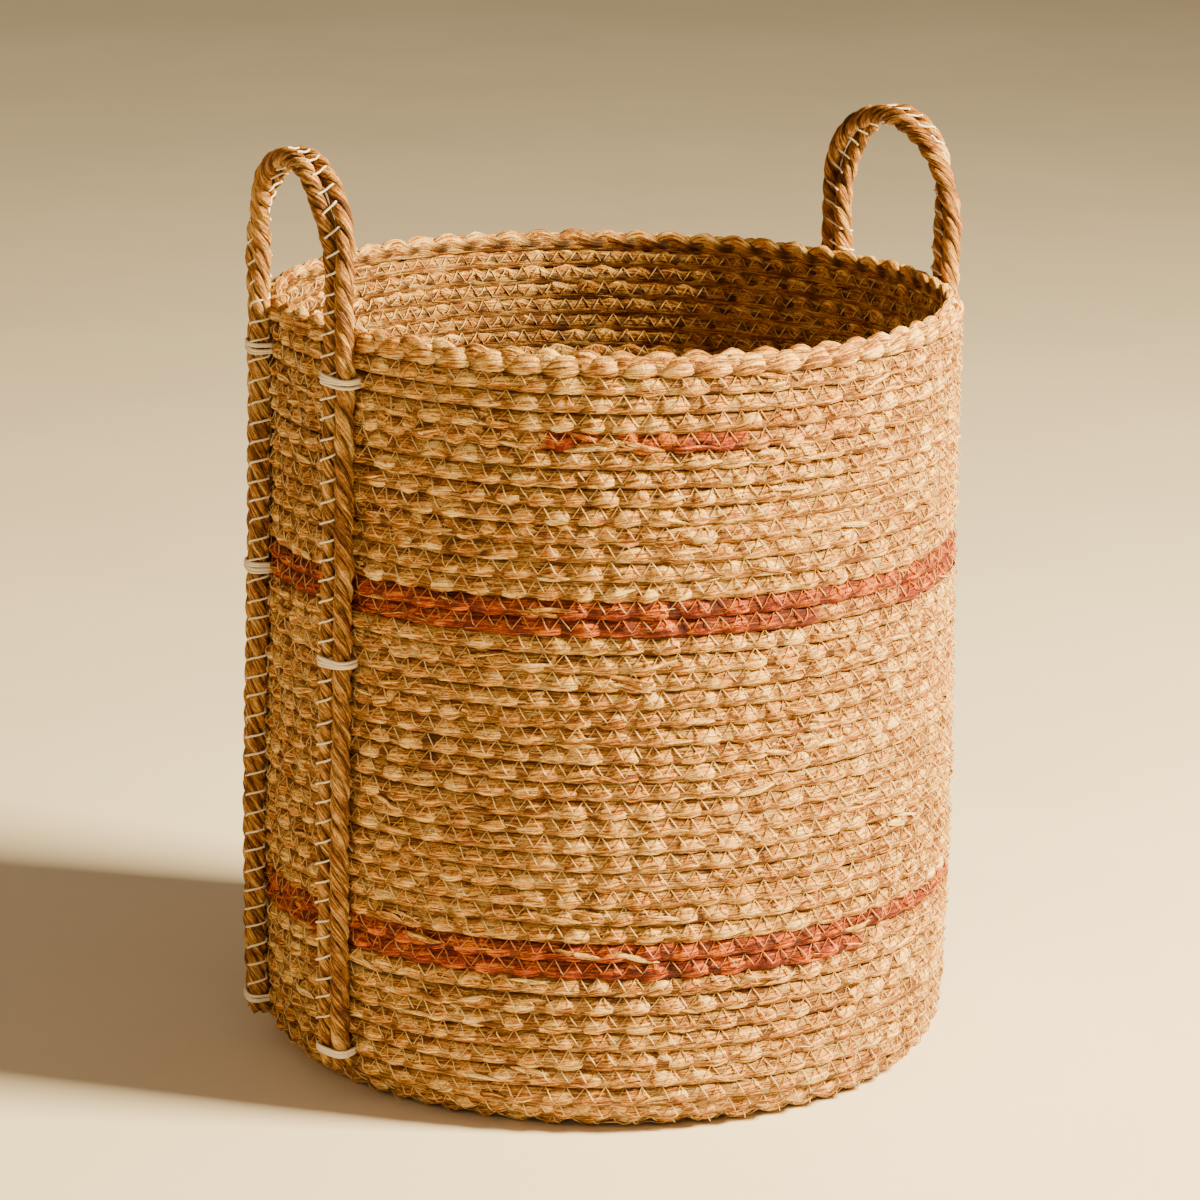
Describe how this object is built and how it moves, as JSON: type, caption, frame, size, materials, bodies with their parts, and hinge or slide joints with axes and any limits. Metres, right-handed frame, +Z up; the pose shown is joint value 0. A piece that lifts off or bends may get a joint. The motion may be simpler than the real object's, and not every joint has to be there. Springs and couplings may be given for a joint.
{
  "type": "storage basket",
  "caption": "Round coiled and stitched straw basket with dyed bands and plaited loop handles that fold over the rim.",
  "frame": {"origin": "centre of the base, on the floor", "axes": "+Z up, handles towards -X and +X, -Y the side seen in front; both handles sit 3.05 degrees towards +Y of the X axis"},
  "size_m": [0.3828, 0.36, 0.4851],
  "materials": {
    "straw": "dry natural straw rope, matt with a slight sheen along the fibres",
    "dyed_straw": "the same straw dyed rust, uneven",
    "handle_straw": "browner straw plait, matt",
    "cotton": "undyed cotton thread and string"
  },
  "bodies": {
    "basket": {"base_coil": "straw", "corner_coil": "straw", "lower_wall_coil": "straw", "lower_band_coil": "dyed_straw", "middle_wall_coil": "straw", "upper_band_coil": "dyed_straw", "upper_wall_coil": "straw", "accent_course": "dyed_straw", "top_wall_coil": "straw", "rim_braid": "straw", "left_front_leg_inner_plait": "handle_straw", "left_front_leg_outer_plait": "handle_straw", "left_front_leg_seam_thread": "cotton", "left_front_top_tie": "cotton", "left_front_middle_tie": "cotton", "left_front_bottom_tie": "cotton", "left_back_leg_inner_plait": "handle_straw", "left_back_leg_outer_plait": "handle_straw", "left_back_leg_seam_thread": "cotton", "left_back_top_tie": "cotton", "left_back_middle_tie": "cotton", "left_back_bottom_tie": "cotton", "right_front_leg_inner_plait": "handle_straw", "right_front_leg_outer_plait": "handle_straw", "right_front_leg_seam_thread": "cotton", "right_front_top_tie": "cotton", "right_front_middle_tie": "cotton", "right_front_bottom_tie": "cotton", "right_back_leg_inner_plait": "handle_straw", "right_back_leg_outer_plait": "handle_straw", "right_back_leg_seam_thread": "cotton", "right_back_top_tie": "cotton", "right_back_middle_tie": "cotton", "right_back_bottom_tie": "cotton"},
    "left_loop": {"left_loop_inner_plait": "handle_straw", "left_loop_outer_plait": "handle_straw", "left_loop_seam_thread": "cotton"},
    "right_loop": {"right_loop_inner_plait": "handle_straw", "right_loop_outer_plait": "handle_straw", "right_loop_seam_thread": "cotton"}
  },
  "joints": [
    {"name": "left_handle_fold", "type": "hinge", "parent": "basket", "child": "left_loop", "pos_m": [-0.17848, 0.00951, 0.404], "axis": [-0.0532, -0.9986, 0], "range_deg": [-75, 85], "stiffness_Nm_per_rad": 0.08},
    {"name": "right_handle_fold", "type": "hinge", "parent": "basket", "child": "right_loop", "pos_m": [0.17848, 0.00951, 0.404], "axis": [-0.0532, 0.9986, 0], "range_deg": [-75, 85], "stiffness_Nm_per_rad": 0.08}
  ]
}
